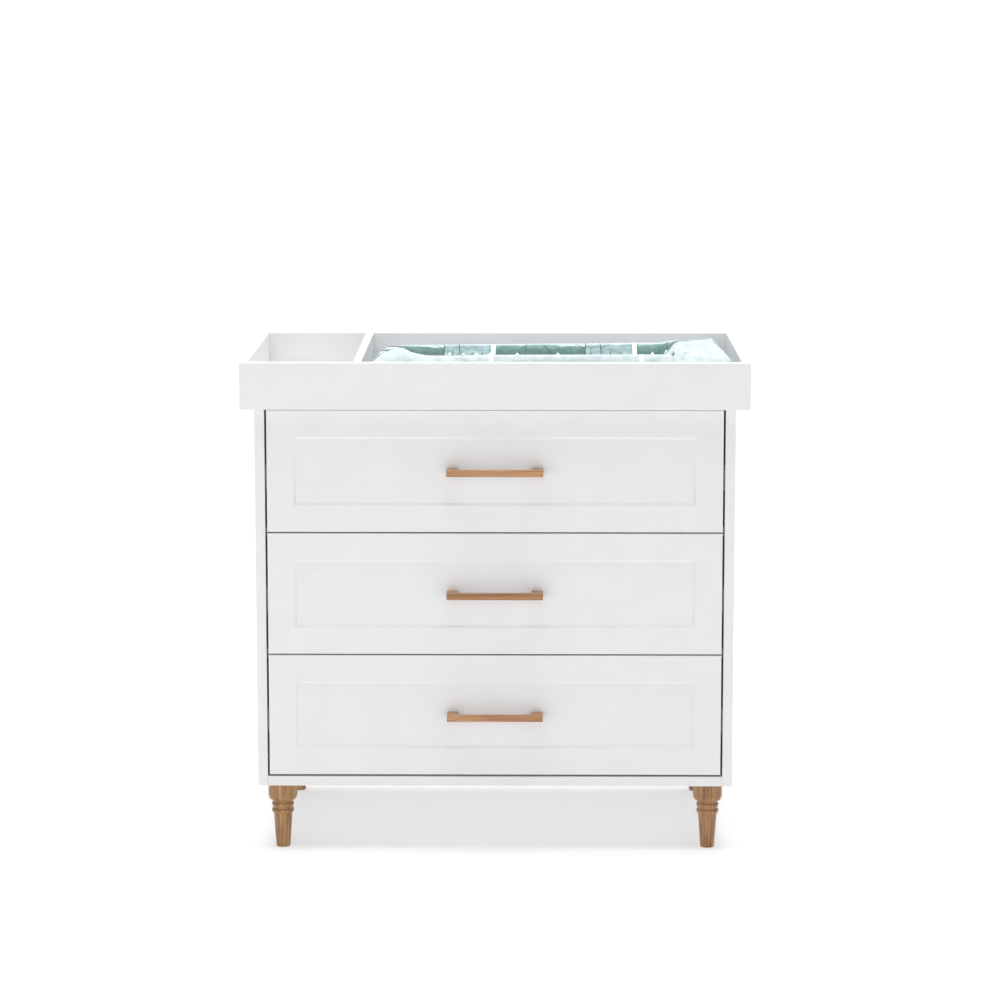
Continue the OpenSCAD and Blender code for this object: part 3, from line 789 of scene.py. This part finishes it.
print_colour = print_over(print_colour, linear("#86aba1"),
                          pines(spacing=31 * MM, base=2 * MM, height=16 * MM, share=0.45, slim=0.26))
for foot_x, foot_y, lean, length in [
        (176 * MM, 40 * MM, 0.05, 52 * MM), (177 * MM, 60 * MM, -0.9, 22 * MM),
        (178 * MM, 66 * MM, 0.8, 18 * MM), (208 * MM, 42 * MM, -0.06, 46 * MM),
        (207 * MM, 60 * MM, 0.7, 16 * MM), (62 * MM, 42 * MM, 0.04, 40 * MM),
        (40 * MM, 40 * MM, 0.6, 34 * MM), (112 * MM, 44 * MM, -0.5, 32 * MM)]:
    print_colour = print_over(print_colour, linear("#2f4446"), stroke(foot_x, foot_y, lean, length))
border_x = add_node(knit, "ShaderNodeMath", {"operation": "PINGPONG"}, {0: px, 1: PANEL_SIZE[0] / 2})
border_y = add_node(knit, "ShaderNodeMath", {"operation": "PINGPONG"}, {0: py, 1: PANEL_SIZE[1] / 2})
near = add_node(knit, "ShaderNodeMath", {"operation": "MINIMUM"},
                {0: border_x.outputs[0], 1: border_y.outputs[0]})
border = add_node(knit, "ShaderNodeMath", {"operation": "LESS_THAN"},
                  {0: near.outputs[0], 1: BORDER_WIDTH})
print_colour = print_over(print_colour, linear("#e9eded"), border.outputs[0])

# Knitted loops over the soft crumple of loose cloth
loops = add_node(knit, "ShaderNodeTexVoronoi", {"feature": "F1"},
                 {"Vector": place.outputs["UV"], "Scale": 1 / LOOP_SIZE})
crumple = add_node(knit, "ShaderNodeTexNoise", {},
                   {"Vector": place.outputs["UV"], "Scale": 1 / CRUMPLE_SIZE, "Detail": 2.0,
                    "Distortion": 0.8})
height = add_node(knit, "ShaderNodeMath", {"operation": "MULTIPLY_ADD"},
                  {0: crumple.outputs["Fac"], 1: 6.0, 2: loops.outputs["Distance"]})
relief = add_node(knit, "ShaderNodeBump", {},
                  {"Height": height.outputs[0], "Strength": 0.5, "Distance": 0.5 * MM})
shader = add_node(knit, "ShaderNodeBsdfPrincipled", {},
                  {"Base Color": print_colour, "Roughness": 0.85, "Normal": relief.outputs["Normal"],
                   "Sheen Weight": 0.25, "Sheen Roughness": 0.5, "IOR": 1.5})
add_node(knit, "ShaderNodeOutputMaterial", {}, {"Surface": shader.outputs["BSDF"]})

bpy.ops.object.shade_smooth()
pad_cover.data.materials.append(knit)
stands_for(pad_cover, "changing_pad")


# ---- Studio ----
# A pale seamless floor that glows a little, under a wide soft light, a soft light from the
# front and a weak one low at the left. A broad sun stands for the room's bright ceiling. The
# camera is in front and above, turned down to the table.

CAMERA_PLACE = (0.0595, -6.2365, 1.587)
CAMERA_DOWN = 8.86
CAMERA_TURN = 0.48
LENS = 120.5
FLOOR_SIZE = 6000
FLOOR_GLOW = 0.43
FLOOR_GREY = (0.58, 0.58, 0.58, 1)
SKY_WHITE = (1, 1, 1, 1)
SKY_GREY = (0.42, 0.42, 0.42, 1)
CEILING_POWER = 2.1
CEILING_SPREAD = 50
CEILING_TILT = -4

floor_material = new_material("pale_floor")
floor_glow = add_node(floor_material, "ShaderNodeEmission", {},
                      {"Color": linear("#ffffff"), "Strength": FLOOR_GLOW})
floor_face = add_node(floor_material, "ShaderNodeBsdfDiffuse", {}, {"Color": FLOOR_GREY})
floor_sum = add_node(floor_material, "ShaderNodeAddShader", {},
                     {0: floor_glow.outputs[0], 1: floor_face.outputs[0]})
add_node(floor_material, "ShaderNodeOutputMaterial", {}, {"Surface": floor_sum.outputs[0]})

bpy.ops.object.select_all(action="DESELECT")
bpy.ops.mesh.primitive_plane_add(size=FLOOR_SIZE, location=(0, 0, 0))
floor = bpy.context.active_object
floor.name = "floor"
floor.data.materials.append(floor_material)

# White at the horizon, and grey from a little above it, so that the lights shape the table
world = bpy.data.worlds.new("studio")
bpy.context.scene.world = world
world.use_nodes = True
world.node_tree.nodes.clear()
direction = add_node(world, "ShaderNodeTexCoord", {}, {})
upward = add_node(world, "ShaderNodeSeparateXYZ", {}, {"Vector": direction.outputs["Generated"]})
sky = add_node(world, "ShaderNodeValToRGB", {}, {"Fac": upward.outputs["Z"]},
               [(0.05, SKY_WHITE), (0.16, SKY_GREY)])
background = add_node(world, "ShaderNodeBackground", {},
                      {"Color": sky.outputs["Color"], "Strength": 1.0})
add_node(world, "ShaderNodeOutputWorld", {}, {"Surface": background.outputs[0]})


def soft_light(name, place, target, size, power):
    """An area light that points at the target and isn't seen itself."""
    data = bpy.data.lights.new(name, "AREA")
    data.shape = "RECTANGLE"
    data.size, data.size_y = size
    data.energy = power
    light = bpy.data.objects.new(name, data)
    bpy.context.scene.collection.objects.link(light)
    light.location = place
    light.rotation_euler = (Vector(target) - Vector(place)).to_track_quat("-Z", "Y").to_euler()
    light.visible_camera = False


soft_light("overhead", (0, 0.1, 3.3), (0, 0, 0.9), (2.2, 1.6), 48)
soft_light("front", (-0.7, -6.0, 2.4), (0, -0.2, 0.6), (2.4, 2.4), 38)
soft_light("low_left", (-2.6, -3.4, 0.35), (0, -0.2, 0.5), (1.2, 0.6), 8)

sun_data = bpy.data.lights.new("ceiling", "SUN")
sun_data.energy = CEILING_POWER
sun_data.angle = math.radians(CEILING_SPREAD)
sun = bpy.data.objects.new("ceiling", sun_data)
bpy.context.scene.collection.objects.link(sun)
sun.rotation_euler = (math.radians(CEILING_TILT), 0, 0)

camera_data = bpy.data.cameras.new("camera")
camera_data.lens = LENS
camera = bpy.data.objects.new("camera", camera_data)
bpy.context.scene.collection.objects.link(camera)
camera.location = CAMERA_PLACE
camera.rotation_euler = (math.radians(90 - CAMERA_DOWN), 0, math.radians(CAMERA_TURN))
bpy.context.scene.camera = camera
bpy.context.scene.view_settings.view_transform = "Standard"
